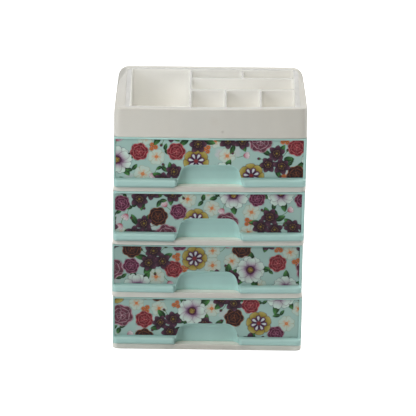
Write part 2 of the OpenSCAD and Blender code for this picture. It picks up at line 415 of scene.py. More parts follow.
def disc(S, cx, cy, r, stops, edge=None, line=0.2, dots=0, dot_colour=(200, 180, 90), rng=None, alpha=1.0):
    at, x, y = S.window(cx, cy, r + 1)
    rr = np.hypot(x, y)
    col = ramp(rr / r, *stops)
    if edge is not None:
        k = np.clip(1 + (rr - r) / line, 0, 1)
        col = col + (np.float32(edge) - col) * k[..., None]
    S.mix(at, col, alpha * S.cover(rr - r))
    if dots:
        for i in range(dots):
            a = rng.uniform(0, 2 * math.pi)
            q = r * math.sqrt(rng.uniform(0.0, 0.85))
            dr = rng.uniform(0.16, 0.3)
            disc(S, cx + q * math.cos(a), cy + q * math.sin(a), dr, [(0, dot_colour), (1, dot_colour)], alpha=rng.uniform(0.5, 1))


def stroke(S, pts, width, colour, alpha=1.0, taper=0.0):
    """A line through points, as a chain of short capsules."""
    pts = np.asarray(pts, float)
    n = len(pts) - 1
    cx, cy = pts.mean(0)
    r = np.abs(pts - [cx, cy]).max() + width + 0.6
    at, x, y = S.window(cx, cy, r)
    best = None
    for i in range(n):
        a, b = pts[i] - [cx, cy], pts[i + 1] - [cx, cy]
        ab = b - a
        k = np.clip(((x - a[0]) * ab[0] + (y - a[1]) * ab[1]) / max(ab @ ab, 1e-9), 0, 1)
        wd = width * (1 - taper * (i + k) / n)
        d = np.hypot(x - a[0] - k * ab[0], y - a[1] - k * ab[1]) - wd / 2
        best = d if best is None else np.minimum(best, d)
    S.mix(at, np.float32(colour), alpha * S.cover(best))


def curve(p, q, lift, n=9):
    p, q = np.array(p, float), np.array(q, float)
    m = (p + q) / 2 + lift * np.array([-(q - p)[1], (q - p)[0]])
    t = np.linspace(0, 1, n)[:, None]
    return (1 - t) ** 2 * p + 2 * t * (1 - t) * m + t ** 2 * q


# ---- motifs; colours as the lit print shows them ---------------------------

def leaf(S, cx, cy, ang, length, rng, dark=(24, 58, 36), light=(74, 116, 66)):
    wd = length * rng.uniform(0.24, 0.3)
    b = rng.uniform(-0.12, 0.12)
    petal(S, cx, cy, ang, length, wd, LEAF, [(0, dark), (0.5, [(a + c) / 2 for a, c in zip(dark, light)]), (1, light)],
          edge=[x * 0.7 for x in dark], line=0.25, veins=5, vein_dark=0.22, tilt=rng.choice([-0.22, 0.22]), bend=b, shade=0.2)
    c, s = math.cos(ang), math.sin(ang)
    rib = [(cx + length * t * c - b * t * t * length * s, cy + length * t * s + b * t * t * length * c) for t in np.linspace(0.02, 0.9, 7)]
    stroke(S, rib, 0.32, (108, 130, 90), alpha=0.7, taper=0.6)


def plum_star(S, cx, cy, r, rng, rot=None):
    """Deep plum blossom with six pointed petals."""
    rot = rng.uniform(0, 6.28) if rot is None else rot
    order = [0, 2, 4, 1, 3, 5]
    for k in order:
        petal(S, cx, cy, rot + k * math.pi / 3 + rng.uniform(-0.08, 0.08), r * rng.uniform(0.93, 1.05), r * 0.34, STAR,
              [(0, (38, 22, 33)), (0.35, (60, 37, 52)), (0.75, (86, 55, 72)), (1, (106, 76, 90))],
              edge=(42, 24, 36), line=0.26, veins=3, vein_dark=0.2, tilt=rng.uniform(-0.12, 0.12), shade=0.5, phase=rng.uniform(0, 1))
    for k in range(14):
        a = rot + k * 2 * math.pi / 14 + rng.uniform(-0.1, 0.1)
        q = r * rng.uniform(0.28, 0.42)
        stroke(S, [(cx, cy), (cx + q * math.cos(a), cy + q * math.sin(a))], 0.18, (122, 96, 84), alpha=0.8)
        disc(S, cx + q * math.cos(a), cy + q * math.sin(a), 0.27, [(0, (176, 150, 84)), (1, (150, 118, 62))])
    disc(S, cx, cy, r * 0.17, [(0, (130, 118, 62)), (1, (78, 62, 34))])


def white_daisy(S, cx, cy, r, rng):
    """Large white flower with shaded heart, two rows of petals."""
    rot = rng.uniform(0, 6.28)
    n = 9
    for ring, scale in ((0, 1.0), (1, 0.86)):
        for k in range(n):
            if ring == 1 and k % 3:
                continue
            a = rot + (k + 0.5 * ring) * 2 * math.pi / n + rng.uniform(-0.05, 0.05)
            petal(S, cx, cy, a, r * scale * rng.uniform(0.94, 1.03), r * 0.29, (0.5, 0.3),
                  [(0, (74, 44, 68)), (0.3, (108, 78, 104)), (0.5, (154, 150, 156)), (0.75, (172, 188, 181)), (1, (178, 198, 189))],
                  edge=(112, 104, 112), line=0.3, veins=3, vein_dark=0.09, tilt=rng.uniform(-0.06, 0.06), shade=0.5,
                  notch=0.05, phase=rng.uniform(0, 1))
    disc(S, cx, cy, r * 0.29, [(0, (92, 56, 66)), (0.8, (90, 46, 78)), (1, (74, 38, 64))])
    disc(S, cx, cy, r * 0.2, [(0, (122, 106, 60)), (1, (86, 66, 42))], dots=30, dot_colour=(172, 152, 84), rng=rng)


def golden(S, cx, cy, r, rng):
    """Mustard daisy with a second ring of plum petals and pale tips."""
    rot = rng.uniform(0, 6.28)
    n = 7
    for k in [0, 2, 4, 6, 1, 3, 5]:
        a = rot + k * 2 * math.pi / n
        petal(S, cx, cy, a, r, r * 0.4, ROUND, [(0, (74, 56, 32)), (0.6, (124, 108, 54)), (1, (152, 144, 82))],
              edge=(72, 44, 56), line=0.4, veins=3, vein_dark=0.12, shade=0.45, tilt=0.06)
    for k in range(n):
        a = rot + (k + 0.5) * 2 * math.pi / n
        petal(S, cx, cy, a, r * 0.66, r * 0.2, ROUND, [(0, (52, 28, 50)), (0.6, (84, 50, 80)), (1, (104, 72, 100))],
              edge=(48, 24, 50), line=0.25, shade=0.3)
        petal(S, cx + r * 0.2 * math.cos(a), cy + r * 0.2 * math.sin(a), a, r * 0.38, r * 0.09, ROUND,
              [(0, (160, 164, 170)), (1, (180, 192, 188))], shade=0)
    disc(S, cx, cy, r * 0.17, [(0, (140, 58, 64)), (1, (104, 36, 46))], edge=(170, 158, 134), line=0.25)


def ranunculus(S, cx, cy, r, rng, tone="crimson"):
    """Round flower of overlapping petals with pale rims and a pale heart."""
    dark, mid, light = {"crimson": ((76, 24, 34), (122, 44, 54), (172, 116, 112)),
                        "magenta": ((58, 24, 42), (96, 42, 68), (158, 116, 132)),
                        "maroon": ((34, 19, 24), (60, 32, 34), (146, 94, 58)),
                        "rose": ((64, 32, 46), (104, 62, 76), (170, 152, 156))}[tone]
    rot = rng.uniform(0, 6.28)
    for ring, (n, reach, wd, line) in enumerate(((6, 1.0, 0.54, 0.45), (5, 0.68, 0.4, 0.5), (3, 0.36, 0.27, 0.5))):
        for k in range(n):
            a = rot + 0.5 * ring + k * 2 * math.pi / n + rng.uniform(-0.05, 0.05)
            petal(S, cx, cy, a, r * reach, r * wd, (1.0, 0.33), [(0, dark), (0.55, mid), (0.86, mid), (1, light)],
                  edge=light, line=line, shade=0.6, tilt=0.1, vary=0.05, phase=ring, notch=0.08 if ring == 0 else 0.0)
    for k in range(5):
        a = rot + k * 1.2566
        stroke(S, [(cx, cy), (cx + 0.3 * r * math.cos(a), cy + 0.3 * r * math.sin(a))], 0.5, light, alpha=0.8, taper=0.5)
    disc(S, cx, cy, r * 0.13, [(0, light), (1, mid)])


def outline_poppy(S, cx, cy, r, rng):
    """Pale flower drawn in tan line, with an orange heart."""
    rot = rng.uniform(0, 6.28)
    for k in (0, 2, 1, 3):
        petal(S, cx, cy, rot + k * math.pi / 2, r, r * 0.62, (0.85, 0.33), [(0, (176, 170, 146)), (0.35, (168, 178, 166)), (1, (160, 179, 171))],
              edge=(122, 104, 66), line=0.44, shade=0, alpha=0.85, notch=0.08)
        for j in (-0.25, 0, 0.25):
            a = rot + k * math.pi / 2 + j
            stroke(S, [(cx + r * 0.22 * math.cos(a), cy + r * 0.22 * math.sin(a)), (cx + r * 0.55 * math.cos(a), cy + r * 0.55 * math.sin(a))],
                   0.3, (178, 116, 74), alpha=0.9)
    disc(S, cx, cy, r * 0.22, [(0, (180, 124, 84)), (0.6, (172, 108, 72)), (1, (164, 128, 92))], dots=9, dot_colour=(150, 74, 44), rng=rng)


def tulip(S, cx, cy, ang, r, rng):
    """Small pale tulip with crimson flames."""
    for off, wd in ((0.42, 0.3), (-0.42, 0.3), (0.0, 0.36)):
        petal(S, cx, cy, ang + off, r, r * wd, (0.6, 0.5), [(0, (150, 60, 74)), (0.3, (176, 140, 150)), (1, (192, 198, 196))],
              edge=(140, 84, 96), line=0.22, veins=3, vein_dark=0.18, shade=0.25)
    stroke(S, curve((cx, cy), (cx - 1.1 * r * math.cos(ang + 0.2), cy - 1.1 * r * math.sin(ang + 0.2)), 0.15), 0.4, (70, 92, 54))


def floret(S, cx, cy, rng):
    """Two or three small orange flowers with a leaf."""
    a0 = rng.uniform(0, 6.28)
    leaf(S, cx, cy, a0 + 2.6, 4.2, rng)
    for k in range(3):
        a, q = a0 + k * 2.1, 2.3
        x, y, r = cx + q * math.cos(a), cy + q * math.sin(a), rng.uniform(2.1, 2.7)
        for j in range(5):
            petal(S, x, y, a + j * 1.2566, r, r * 0.42, ROUND, [(0, (120, 56, 40)), (0.5, (160, 92, 60)), (1, (180, 126, 90))],
                  edge=(126, 66, 46), line=0.2, shade=0.25)
        disc(S, x, y, r * 0.26, [(0, (172, 156, 96)), (1, (120, 84, 50))])


def bud(S, p, q, rng):
    """Plum bud on a curved stem from p to q."""
    c = curve(p, q, rng.uniform(-0.25, 0.25))
    stroke(S, c, 0.5, (62, 86, 46), taper=0.3)
    a = math.atan2(*(c[-1] - c[-2])[::-1])
    petal(S, c[-1][0], c[-1][1], a, 3.2, 1.25, (0.6, 0.55), [(0, (64, 34, 46)), (1, (104, 58, 80))], edge=(44, 22, 34), shade=0.3)
    for o in (-0.5, 0.5):
        petal(S, c[-1][0], c[-1][1], a + o, 1.8, 0.5, LEAF, [(0, (52, 76, 40)), (1, (84, 108, 60))], shade=0)


def paint_sheet(seed=11):
    rng = np.random.default_rng(seed)
    S = Sheet(SHEET_W, SHEET_H, STEP)
    yy, xx = np.mgrid[0:S.ny, 0:S.nx].astype(np.float32)
    wob = (np.sin(2 * np.pi * xx / S.nx * 3 + 1.2) * np.sin(2 * np.pi * yy / S.ny * 2) + np.sin(2 * np.pi * xx / S.nx * 7) * np.sin(2 * np.pi * yy / S.ny * 5 + 2)) * 0.5
    S.a[:] = np.float32([136, 163, 157]) + wob[..., None] * np.float32([2.5, 2.0, 2.0])
    placed = []

    def free(x, y, r, gap=0.0):
        for px, py, pr in placed:
            dx = abs(px - x); dx = min(dx, SHEET_W - dx)
            dy = abs(py - y); dy = min(dy, SHEET_H - dy)
            if math.hypot(dx, dy) < (r + pr) + gap:
                return False
        return True

    def throw(r, n, gap=0.0, tries=4000):
        out = []
        for _ in range(tries):
            if len(out) >= n:
                break
            x, y = rng.uniform(0, SHEET_W), rng.uniform(0, SHEET_H)
            if free(x, y, r, gap):
                placed.append((x, y, r)); out.append((x, y))
        return out

    daisies = throw(12.8, 6, 0.6)
    clusters = throw(12.2, 10, 0.0)
    goldens = throw(11.2, 5, 0.0)
    roses = throw(10.0, 4, 0.0)
    maroons = throw(8.6, 5, 0.2)
    reds = throw(8.0, 7, 0.2)
    mags = throw(7.4, 6, 0.2)
    poppies = throw(6.8, 19, -0.8)
    tulips = throw(4.6, 10, -1.0)
    sprigs = throw(3.6, 12, -1.0)
    rest = throw(3.0, 24, -0.5)
    # faint blossoms on the ground
    for _ in range(34):
        x, y, a = rng.uniform(0, SHEET_W), rng.uniform(0, SHEET_H), rng.uniform(0, 6.28)
        for k in range(5):
            petal(S, x, y, a + k * 1.2566, rng.uniform(4.5, 6), 2.0, ROUND, [(0, (178, 164, 170)), (1, (170, 168, 170))], shade=0, alpha=0.4)
    for x, y in poppies:
        outline_poppy(S, x, y, rng.uniform(6.8, 8.2), rng)
    for x, y in sprigs:
        floret(S, x, y, rng)
    for x, y in tulips:
        tulip(S, x, y, rng.uniform(0, 6.28), rng.uniform(5.4, 6.6), rng)
    for x, y in daisies:
        a0 = rng.uniform(0, 6.28)
        for k in range(4):
            a = a0 + k * 1.57 + rng.uniform(-0.35, 0.35)
            leaf(S, x + 8.5 * math.cos(a), y + 8.5 * math.sin(a), a + rng.uniform(-0.35, 0.35), rng.uniform(9.5, 12), rng)
    for x, y in clusters:
        a0 = rng.uniform(0, 6.28)
        for k in range(5):
            a = a0 + k * 1.2566 + rng.uniform(-0.3, 0.3)
            leaf(S, x + 8 * math.cos(a), y + 8 * math.sin(a), a + rng.uniform(-0.4, 0.4), rng.uniform(8.5, 11), rng)
        for k in range(3):
            a = a0 + 0.6 + k * 2.1 + rng.uniform(-0.3, 0.3)
            bud(S, (x + 4 * math.cos(a), y + 4 * math.sin(a)), (x + 14 * math.cos(a + 0.2), y + 14 * math.sin(a + 0.2)), rng)
    for x, y in rest:
        a = rng.uniform(0, 6.28)
        leaf(S, x, y, a, rng.uniform(5.5, 7.5), rng)
        leaf(S, x, y, a + rng.uniform(1.6, 2.6), rng.uniform(5.5, 7.5), rng)
    for x, y in maroons:
        ranunculus(S, x, y, 9.0, rng, "maroon")
    for x, y in reds:
        ranunculus(S, x, y, 8.4, rng, "crimson")
    for x, y in mags:
        ranunculus(S, x, y, 7.6, rng, "magenta")
    for x, y in roses:
        ranunculus(S, x, y, 10.8, rng, "rose")
    for x, y in goldens:
        golden(S, x, y, 12.0, rng)
    for x, y in clusters:
        a0 = rng.uniform(0, 6.28)
        for k in range(3):
            a = a0 + k * 2.094 + rng.uniform(-0.2, 0.2)
            plum_star(S, x + 7.6 * math.cos(a), y + 7.6 * math.sin(a), rng.uniform(7.6, 8.8), rng)
    for x, y in daisies:
        white_daisy(S, x, y, rng.uniform(13.2, 14.6), rng)
    return S


SHEET = paint_sheet()
INK_GAIN = 1.18       # from the colour the lit print shows to the ink's own
# Ink prints deeper in the shadows than it was painted, and a little softer in the lights
INK_FROM = (0, 0.15, 0.20, 0.27, 0.314, 0.365, 0.431, 0.478, 0.565, 0.592, 0.624, 0.663, 0.69, 1)
INK_TO = (0, 0.085, 0.125, 0.198, 0.262, 0.340, 0.425, 0.470, 0.562, 0.596, 0.620, 0.650, 0.670, 0.95)


def ink_at(x, z):
    """The ink's linear colour at points of the sheet, in mm."""
    s = SHEET.step
    gx, gz = x / s - 0.5, z / s - 0.5
    ix, iz = np.floor(gx).astype(int), np.floor(gz).astype(int)
    fx, fz = (gx - ix)[..., None], (gz - iz)[..., None]
    a = SHEET.a
    x0, x1, z0, z1 = ix % SHEET.nx, (ix + 1) % SHEET.nx, iz % SHEET.ny, (iz + 1) % SHEET.ny
    c = (a[z0, x0] * (1 - fx) + a[z0, x1] * fx) * (1 - fz) + (a[z1, x0] * (1 - fx) + a[z1, x1] * fx) * fz
    c = np.clip(c, 0, 255) / 255
    level = np.maximum(c @ np.array([0.3, 0.59, 0.11]), 1e-4)
    rich = 1 + 0.25 * np.clip((0.52 - level) / 0.12, 0, 1)
    c = np.clip(level[..., None] + (c - level[..., None]) * rich[..., None], 0.01, 1)
    c = c * (np.interp(level, INK_FROM, INK_TO) / level)[..., None]
    lin = np.where(c <= 0.04045, c / 12.92, ((c + 0.055) / 1.055) ** 2.4)
    return np.clip(lin * INK_GAIN, 0, 0.92)


# The label's outline: a rounded rectangle cut out over the grip's arch, mm
LX, LZ0, LZ1, LR = 86.8, 13.1, 50.252, 0.8
# How far each print reaches above its CAD form, in mm, and where its lower edge starts, left and right
PRINT_RISE = {1: 0.75, 2: 0.35, 3: 1.1, 4: 1.0}
PRINT_FOOT = {1: (0.4, 1.3), 2: (0.0, 0.0), 3: (1.0, 0.0), 4: (1.3, 0.5)}
PRINT_SHADE = {1: 0.12, 2: 0.0, 3: -0.09, 4: 0.03}


def print_aside(x):
    """The print's left end reaches a little further out than its right end."""
    t = np.clip((-x - 80) / 6, 0, 1)
    return -0.9 * t * t * (3 - 2 * t)

LY_FRONT, LY_BACK = FRONT_Y + 0.3, FRONT_Y + 0.7
ARCH_X, ARCH_Z, ARCH_R, ARCH_FOOT, ARCH_BASE = 17.3, 15.9, 11.0, 31.7, 5.5


def label_low(x, k):
    """Height of label k's lower edge at x."""
    ax = np.abs(x)
    lean = math.acos(ARCH_R / math.hypot(ARCH_FOOT - ARCH_X, ARCH_Z - ARCH_BASE)) - math.atan2(ARCH_Z - ARCH_BASE, ARCH_FOOT - ARCH_X) - math.radians(1.5)
    tx, tz = ARCH_X + ARCH_R * math.cos(lean), ARCH_Z + ARCH_R * math.sin(lean)
    arc = ARCH_Z + np.sqrt(np.maximum(ARCH_R ** 2 - (ax - ARCH_X) ** 2, 0))
    side = tz + (ax - tx) * (ARCH_BASE - tz) / (ARCH_FOOT - tx)
    z = np.where(ax <= ARCH_X, ARCH_Z + ARCH_R, np.where(ax <= tx, arc, side))
    corner = LR - np.sqrt(np.maximum(LR ** 2 - np.maximum(ax - (LX - LR), 0) ** 2, 0))
    foot = LZ0 + np.where(x < 0, *PRINT_FOOT[k])
    return np.maximum(z, foot) + np.where(ax > LX - LR, corner, 0)


def label_high(x, k):
    ax = np.abs(x)
    return LZ1 + PRINT_RISE[k] - np.where(ax > LX - LR, LR - np.sqrt(np.maximum(LR ** 2 - np.maximum(ax - (LX - LR), 0) ** 2, 0)), 0)


# The part of the sheet each drawer front is cut from: its left and lower edge, mm
CUTS = {1: (12.0, 3.0), 2: (98.0, 43.0), 3: (47.0, 84.0), 4: (139.0, 122.0)}


def settled_label(k):
    """Drawer k's printed film: a closed thin sheet with its ink on the front."""
    pitch = 0.3
    xs = np.linspace(-LX, LX, int(round(2 * LX / pitch)) + 1)
    turn = np.linspace(0.0, math.pi / 2, 30)
    bend = np.concatenate([ARCH_X + ARCH_R * np.sin(turn), np.linspace(28.0, 29.6, 9)])
    bend = bend[bend < 29.6]
    rim = LX - LR + LR * np.sin(np.linspace(0.1, math.pi / 2, 5))[:-1]
    xs = np.unique(np.round(np.concatenate([xs, bend, -bend, rim, -rim, [LX - 0.06, 0.06 - LX]]), 3))
    rows = np.linspace(0, 1, 124)
    rows = np.sort(np.concatenate([rows, [0.0018, 0.9982]]))
    lo, hi = label_low(xs, k), label_high(xs, k)
    X = np.repeat(xs[None, :], len(rows), 0)
    Z = lo[None, :] + rows[:, None] * (hi - lo)[None, :]
    u0, v0 = CUTS[k]
    ink = ink_at(X + LX + u0, Z - LZ0 + v0)
    nr, nc = X.shape
    Y = np.full(X.shape, LY_FRONT)
    edge = np.zeros(X.shape, bool)
    edge[0], edge[-1], edge[:, 0], edge[:, -1] = True, True, True, True
    Y[edge] += 0.05
    z0 = TIER * (4 - k)
    front = np.stack([X + print_aside(X), Y, Z + z0], -1).reshape(-1, 3)
    # the back face has the same columns, two rows
    back = np.stack([np.tile(xs + print_aside(xs), 2), np.full(2 * nc, LY_BACK), np.concatenate([lo, hi]) + z0], -1)
    p = np.concatenate([front, back])
    idx = np.arange(nr * nc).reshape(nr, nc)
    f = np.stack([idx[:-1, :-1], idx[:-1, 1:], idx[1:, 1:], idx[1:, :-1]], -1).reshape(-1, 4)
    b0 = nr * nc + np.arange(nc)
    b1 = b0 + nc
    rear = np.stack([b0[1:], b0[:-1], b1[:-1], b1[1:]], -1)
    low = np.stack([b0[:-1], b0[1:], idx[0, 1:], idx[0, :-1]], -1)
    top = np.stack([idx[-1, :-1], idx[-1, 1:], b1[1:], b1[:-1]], -1)
    faces = [f, rear, low, top]
    # both ends: a fan of the front's end column on to the back's two points
    ends = []
    for col, s in ((0, 1), (nc - 1, -1)):
        c = idx[:, col]
        h = len(c) // 2
        tri = [(c[i], c[i + 1], b0[col]) for i in range(h)] + [(c[i], c[i + 1], b1[col]) for i in range(h, len(c) - 1)]
        tri.append((c[h], b1[col], b0[col]))
        ends += [t if s > 0 else t[::-1] for t in tri]
    quads = np.concatenate(faces)
    tris = np.array(ends)
    me = mesh_of(f"label_{k}", settle(p, f"tier_{k}"), tris[:, ::-1], quads[:, ::-1])
    me.polygons.foreach_set("use_smooth", np.zeros(len(me.polygons), bool))
    col = np.ones((len(p), 4), np.float32)
    col[:nr * nc, :3] = ink.reshape(-1, 3)
    col[nr * nc:, :3] = (0.42, 0.55, 0.52)
    me.color_attributes.new("ink", "FLOAT_COLOR", "POINT").data.foreach_set("color", col.ravel())
    # painted shade: the print is a little darker just under the border and at its right end; PRINT_SHADE makes each
    # drawer's print lighter or darker as a whole
    under, end = hi[None, :] - Z, LX - X
    tone = PRINT_SHADE[k] - 0.22 * np.exp(-(under / 1.2) ** 2) - 0.22 * np.exp(-(end / 0.9) ** 2)
    tone = np.concatenate([tone.ravel(), np.zeros(2 * nc)]).astype(np.float32)
    me.attributes.new("tone", "FLOAT", "POINT").data.foreach_set("value", tone)
    # the front fills the map; the back lies in a strip below it
    uv = np.empty((len(p), 2), np.float32)
    uv[:nr * nc, 0] = (X.ravel() + LX) / (2 * LX) * 0.996 + 0.002
    uv[:nr * nc, 1] = 0.06 + (Z.ravel() - LZ0) / (LZ1 + PRINT_RISE[k] - LZ0) * 0.935
    uv[nr * nc:, 0] = (back[:, 0] + LX) / (2 * LX) * 0.996 + 0.002
    uv[nr * nc:, 1] = np.repeat([0.005, 0.03], nc)
    layer = me.uv_layers.new(name="OFBake")
    vi = np.empty(len(me.loops), np.int32)
    me.loops.foreach_get("vertex_index", vi)
    layer.data.foreach_set("uv", uv[vi].ravel())
    return me


# ----------------------------------------------------------------- pieces ---

WHITE = (0.597, 0.588, 0.540, 1)
IVORY = (0.905, 0.900, 0.862, 1)
MINT = (0.353, 0.563, 0.529, 1)

white = plastic("white_plastic", WHITE, (0.606, 0.585, 0.528, 1), 0.42, groove_shade=0.10,
                mark=[((11.7, -47.2, 216.2), 2.3, (0.33, 0.30, 0.26, 1), 0.6),
                      ((4.0, -47.0, 226.0), 6.5, (0.55, 0.50, 0.41, 1), 0.22)])
ivory = plastic("tray_plastic", IVORY, (0.910, 0.897, 0.848, 1), 0.42, wear=0.02, groove_shade=0.03)
mint = plastic("mint_plastic", MINT, (0.361, 0.559, 0.522, 1), 0.34, wear=0.06, groove_shade=0.08)
film = printed("printed_film", 0.32)

VOX = 0.38
FINE = 0.31
ADAPT = 0.02

# How far the moulded tiers have sunk out of true, in mm: down is positive; x across, z up
SAG_X = (-72.0, 0.0, 77.0)
SAG_Z = (0.0, 52.0, 105.0, 158.0, 211.0)
SAG = ((0.0, 0.0, 0.0), (0.45, 0.42, -0.40), (0.85, 0.70, -0.25), (0.90, 0.60, -0.45), (1.00, 1.10, 0.40))
SAG_FRONT = (0.55, 0.90, -0.90)      # the housing's front edge
SAG_REAR = (0.0, -0.20, -0.35)       # its back edge
LEAN = {"tower": 0.0, "housing": 0.5, "tier_1": 0.4, "tier_2": 0.0, "tier_3": -0.7, "tier_4": 0.0}


def smooth(t):
    t = np.clip(t, 0, 1)
    return t * t * (3 - 2 * t)


def settle(p, part):
    """Where a point of a piece comes to rest: cheap mouldings stack less than a millimetre out of true."""
    x, y, z = p[:, 0], p[:, 1] - FRONT_Y, p[:, 2]
    a, b, c = SAG_X
    w = ((x - b) * (x - c) / ((a - b) * (a - c)), (x - a) * (x - c) / ((b - a) * (b - c)), (x - a) * (x - b) / ((c - a) * (c - b)))
    low = sum(w[k] * np.interp(z, SAG_Z, [row[k] for row in SAG]) for k in range(3))
    back = smooth(y / 100)
    high = sum(w[k] * (SAG_FRONT[k] * (1 - back) + SAG_REAR[k] * back) for k in range(3))
    up = smooth((z - TOP) / 26)
    q = p.copy()
    q[:, 2] -= low * (1 - up) + high * up
    q[:, 0] += LEAN[part]
    if part == "housing":
        q[:, 0] -= x * 0.0033
    return q


def moulded(node, sigma, voxel=VOX):
    return softened(NODES[node], voxel, max(sigma, voxel * 0.8), ADAPT)


def put(name, form, material, body, node, part, drop=0.0, shape=None, tone=None):
    p, tri, quad, n, bend = form
    q, n = p.copy(), n.copy()
    if shape:
        q, n = shape(q, n)
    value = tone(q, n) if tone else None
    q[:, 2] -= drop
    me = mesh_of(name, settle(q, part), tri, quad, n, bend)
    if value is not None and len(me.vertices) == len(q):
        me.attributes.new("tone", "FLOAT", "POINT").data.foreach_set("value", value.astype(np.float32))
    me.materials.append(material)
    return place(name, me, body, [node])


def shouldered(p, n):
    """The housing's sides lean in a little under its rear shoulders."""
    side = smooth((np.abs(p[:, 0]) - 82.5) / 5)
    t = 4 * TIER + 41.6 - p[:, 2]
    p[:, 0] -= np.sign(p[:, 0]) * 0.8 * side * np.exp(-((t - 11) / 6) ** 2)
    return p, n


def snug(p, n):
    """The tray is pressed into the housing: its flange closes the seam."""
    x, y = p[:, 0] - 1.7, p[:, 1] - FRONT_Y
    p[:, 0] += np.sign(x) * 0.45 * smooth((np.abs(x) - 78.3) / 2.8)
    p[:, 1] += 0.45 * smooth((y - 91.6) / 2.8) - 0.45 * smooth((8.4 - y) / 2.8)
    return p, n


def housing_painted_light(p, n):
    """Painted light: the housing's rear edge and shoulders are made paler, and its front lighter at the left and darker
    at the right.
    """
    y, z = p[:, 1] - FRONT_Y, p[:, 2] - TOP
    rear = 1.6 * smooth((y - 91.0) / 3) * smooth((z - 36) / 3)
    side = smooth((np.abs(n[:, 0]) - 0.3) / 0.4) * smooth((z - 27) / 6) * smooth((np.abs(p[:, 0]) - 80) / 3)
    front = smooth((-n[:, 1] - 0.5) / 0.3) * smooth((2 - y) / 2)
    return 0.13 * np.maximum(rear, side) - 0.055 * front * p[:, 0] / 90


def tray_dust_and_painted_light(p, n):
    """A fine dusting and painted shade dull the flange and the dividers' tops, which lie open to the sky. The walls
    carry
    painted light and shade: paler low down than near the top, and in the large compartment paler at its upper left."""
    row = np.clip(((p[:, 1] + 60) / 2).astype(int), 0, 63)
    crest = np.full(64, -1e9)
    np.maximum.at(crest, row, p[:, 2])
    top = np.maximum(np.maximum(crest[row], crest[np.clip(row - 1, 0, 63)]), crest[np.clip(row + 1, 0, 63)])
    deep = top - p[:, 2]
    # painted shade with a fine dusting: up-facing tops within a few mm of the crest are darker
    top_dust_and_shade = -TOP_DUST_AND_SHADE * np.clip((n[:, 2] - 0.55) / 0.4, 0, 1) * np.clip((7.0 - deep) / 4.0, 0, 1)
    # painted light and shade on the walls, by depth and by compartment
    wall = smooth((deep - 2) / 3) * (1 - smooth((n[:, 2] - 0.3) / 0.3))
    down = np.clip(deep / 22, 0, 1)
    left = smooth((-35.0 - p[:, 0]) / 35)
    large = (0.19 * left - 0.15) * (1 - down) - 0.04 * left * down
    front = 0.22 * down - 0.13
    back = 0.05 * down + 0.03
    small = np.where(p[:, 1] - FRONT_Y < 46.5, front, back)
    return top_dust_and_shade + wall * np.where(p[:, 0] < -18.0, large, small)


# How far each drawer's lips rise and hang beyond their CAD form, in mm: rise left, rise right, hang left, hang right
LIPS = {1: (0.4, 1.3, 1.1, 0.2), 2: (0.0, 0.0, 1.2, 0.5), 3: (1.0, 0.0, -0.4, 0.0), 4: (1.2, 0.5, -0.6, -0.4)}


def fitted(k):
    def shape(p, n):
        """Drawer: the finger recess's skin stands on the shelf, the border above the print is slim, and the lips have
        rounded ends."""
        x, y, z = np.abs(p[:, 0]), p[:, 1] - FRONT_Y, p[:, 2] - 3 * TIER
        seat = smooth((6.9 - z) / 1.1) * ((y > 1.0) & (y < 12.5) & (x < 34.5) & (z < 6.9))
        slim = PRINT_RISE[k] * smooth((z - 45.5) / 4.0) * (1 - smooth((z - 50.6) / 1.5))
        lift = (slim + np.where(p[:, 0] < 0, LIFT[k], 0.13) * smooth((z - 51.3) / 0.9)) * smooth((5.5 - y) / 1.5)
        aside = print_aside(p[:, 0]) * (1 - smooth((-87.5 - p[:, 0]) / 1.5)) * smooth((z - 13.2) / 1.2) * smooth((2.6 - y) / 1.2)
        # lips: each end narrows to a half round as seen from the front
        out, inn = np.clip((x - 86.6) / 2.8, 0, 1), np.clip((33.2 - x) / 2.5, 0, 1)
        e = np.maximum(out, 0.8 * inn)
        f = np.sqrt(1 - 0.86 * e * e)
        slope = np.where(out > 0.8 * inn, -0.86 * out / (2.8 * f), 0.86 * 0.64 * inn / (2.5 * f)) * (e > 0)
        w = smooth((-0.7 - y) / 0.7) * (z < 13.4)
        c = 9.4 + 3 * TIER
        h = p[:, 2] - c
        rise, hang = (np.where(p[:, 0] < 0, LIPS[k][j], LIPS[k][j + 1]) for j in (0, 2))
        grow = np.where(h > 0, 0.7 * rise, hang) / 3.5 * smooth((x - 31) / 3)
        f = 1 + (f * (1 + grow) - 1) * w
        slope = slope * w * np.sign(p[:, 0])
        m = n.copy()
        m[:, 0] = n[:, 0] - h * slope / f * n[:, 2]
        m[:, 2] = n[:, 2] / f
        m /= np.maximum(np.linalg.norm(m, axis=1, keepdims=True), 1e-9)
        p[:, 2] = c + h * f - 0.75 * seat + lift
        p[:, 0] += aside
        return p, m
    return shape


def frame_painted_light(k):
    def tone(p, n):
        """Painted light on a frame: its shelf in the finger recess is made lighter, its front face lighter towards the
        ends and darker in the middle, and a painted shadow lies on its edge under the lips.
        """
        x, y, z = np.abs(p[:, 0]), p[:, 1] - FRONT_Y, p[:, 2] - (0 if k == 4 else 3 * TIER)
        mid = smooth((34 - x) / 4)
        # painted light: the shelf inside the finger recess is made lighter
        shelf_light = SHELF_LIGHT[k] * (0.35 + 0.65 * smooth((y - 0.8) / 3)) * smooth((n[:, 2] - 0.3) / 0.5) * mid * smooth((14 - y) / 3) * (np.abs(z - 5.5) < 0.8)
        # painted light and shade: the strip's front face is lighter towards the ends and darker in the middle
        face = (z < 8.5) * (1 - smooth((n[:, 2] - 0.3) / 0.5)) * (STRIP_LIGHT_SHADE[k] - (STRIP_LIGHT_SHADE[k] + 0.08) * smooth((48 - x) / 26))
        hang = np.where(p[:, 0] < 0, LIPS[k][2], LIPS[k][3])
        # painted shadow: a dark band on the strip's edge just under the lips
        lip_shadow = np.where(p[:, 0] < 0, LIP_SHADOW[k][0], LIP_SHADOW[k][1]) * smooth((x - 31) / 2) * np.exp(-((z - 4.7 + hang) / 0.95) ** 2) * smooth((2 - y) / 1.5)
        return face + shelf_light - lip_shadow
    return tone


